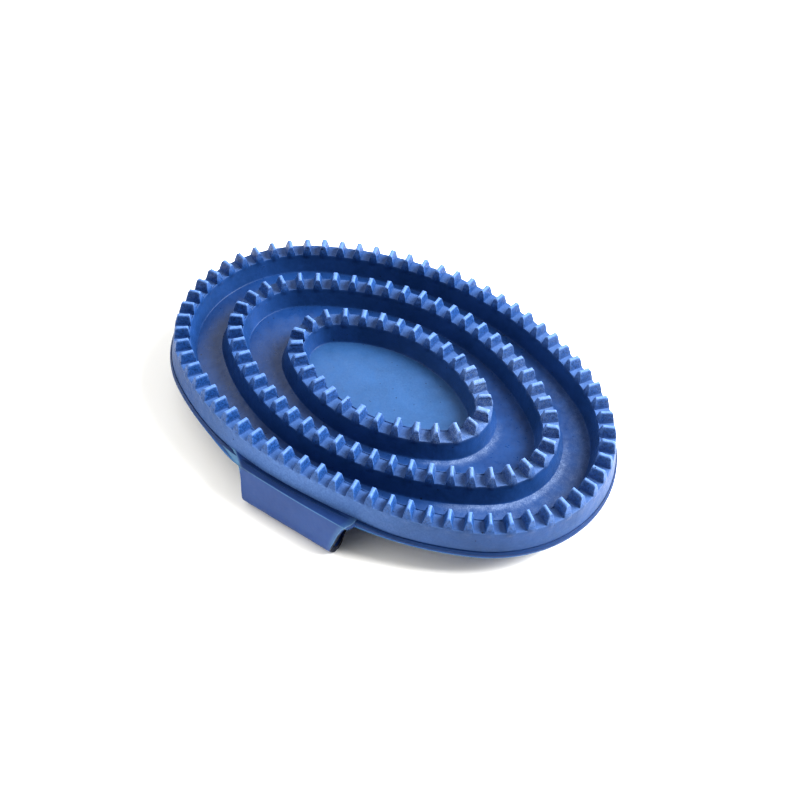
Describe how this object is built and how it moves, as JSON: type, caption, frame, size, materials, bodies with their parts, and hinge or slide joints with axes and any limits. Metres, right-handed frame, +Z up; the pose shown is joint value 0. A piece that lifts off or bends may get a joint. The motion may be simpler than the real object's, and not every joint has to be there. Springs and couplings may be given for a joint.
{
  "type": "curry comb",
  "caption": "Oval rubber grooming comb for horses: concentric ridges of radial teeth on a thin plate, with a two-part buttoned hand strap folded under the back.",
  "frame": {"origin": "on the surface the comb lies on, under the middle of its overall box", "axes": "+X along the oval's length, +Y across it, +Z up out of the toothed face"},
  "size_m": [0.1698, 0.128, 0.0257],
  "materials": {
    "body_rubber": "satin moulded rubber",
    "tooth_rubber": "satin moulded rubber, tips worn lighter",
    "strap_rubber": "smooth satin moulded rubber"
  },
  "bodies": {
    "comb": {"base_plate": "body_rubber", "plate_rim": "body_rubber", "outer_ridge": "body_rubber", "middle_ridge": "body_rubber", "inner_ridge": "body_rubber", "outer_ridge_teeth": "tooth_rubber", "middle_ridge_teeth": "tooth_rubber", "inner_ridge_teeth": "tooth_rubber", "hole_strap_root": "strap_rubber", "stud_strap_root": "strap_rubber"},
    "hole_strap_fold": {"hole_strap_upper_bend": "strap_rubber", "hole_strap_side": "strap_rubber", "hole_strap_lower_bend": "strap_rubber"},
    "hole_strap_flat": {"hole_strap_band": "strap_rubber"},
    "stud_strap_fold": {"stud_strap_upper_bend": "strap_rubber", "stud_strap_side": "strap_rubber", "stud_strap_lower_bend": "strap_rubber"},
    "stud_strap_flat": {"stud_strap_band": "strap_rubber", "strap_studs": "strap_rubber"}
  },
  "joints": [
    {"name": "hole_strap_open", "type": "hinge", "parent": "comb", "child": "hole_strap_fold", "pos_m": [0.0015, -0.06275, 0.01225], "axis": [-1, 0, 0], "range_deg": [0, 90], "deforming": ["hole_strap_upper_bend"]},
    {"name": "hole_strap_unroll", "type": "hinge", "parent": "hole_strap_fold", "child": "hole_strap_flat", "pos_m": [0.0015, -0.06275, 0.00125], "axis": [-1, 0, 0], "range_deg": [0, 90], "deforming": ["hole_strap_lower_bend"]},
    {"name": "stud_strap_open", "type": "hinge", "parent": "comb", "child": "stud_strap_fold", "pos_m": [0.0015, 0.06275, 0.01225], "axis": [1, 0, 0], "range_deg": [0, 86.4], "deforming": ["stud_strap_upper_bend", "strap_studs"]},
    {"name": "stud_strap_unroll", "type": "hinge", "parent": "stud_strap_fold", "child": "stud_strap_flat", "pos_m": [0.0015, 0.06275, 0.00395], "axis": [1, 0, 0], "range_deg": [0, 86.4], "deforming": ["stud_strap_lower_bend"]}
  ],
  "couplings": [
    {"joint": "hole_strap_unroll", "follows": "hole_strap_open", "ratio": 1},
    {"joint": "stud_strap_open", "follows": "hole_strap_open", "ratio": 0.96},
    {"joint": "stud_strap_unroll", "follows": "hole_strap_open", "ratio": 0.96}
  ]
}
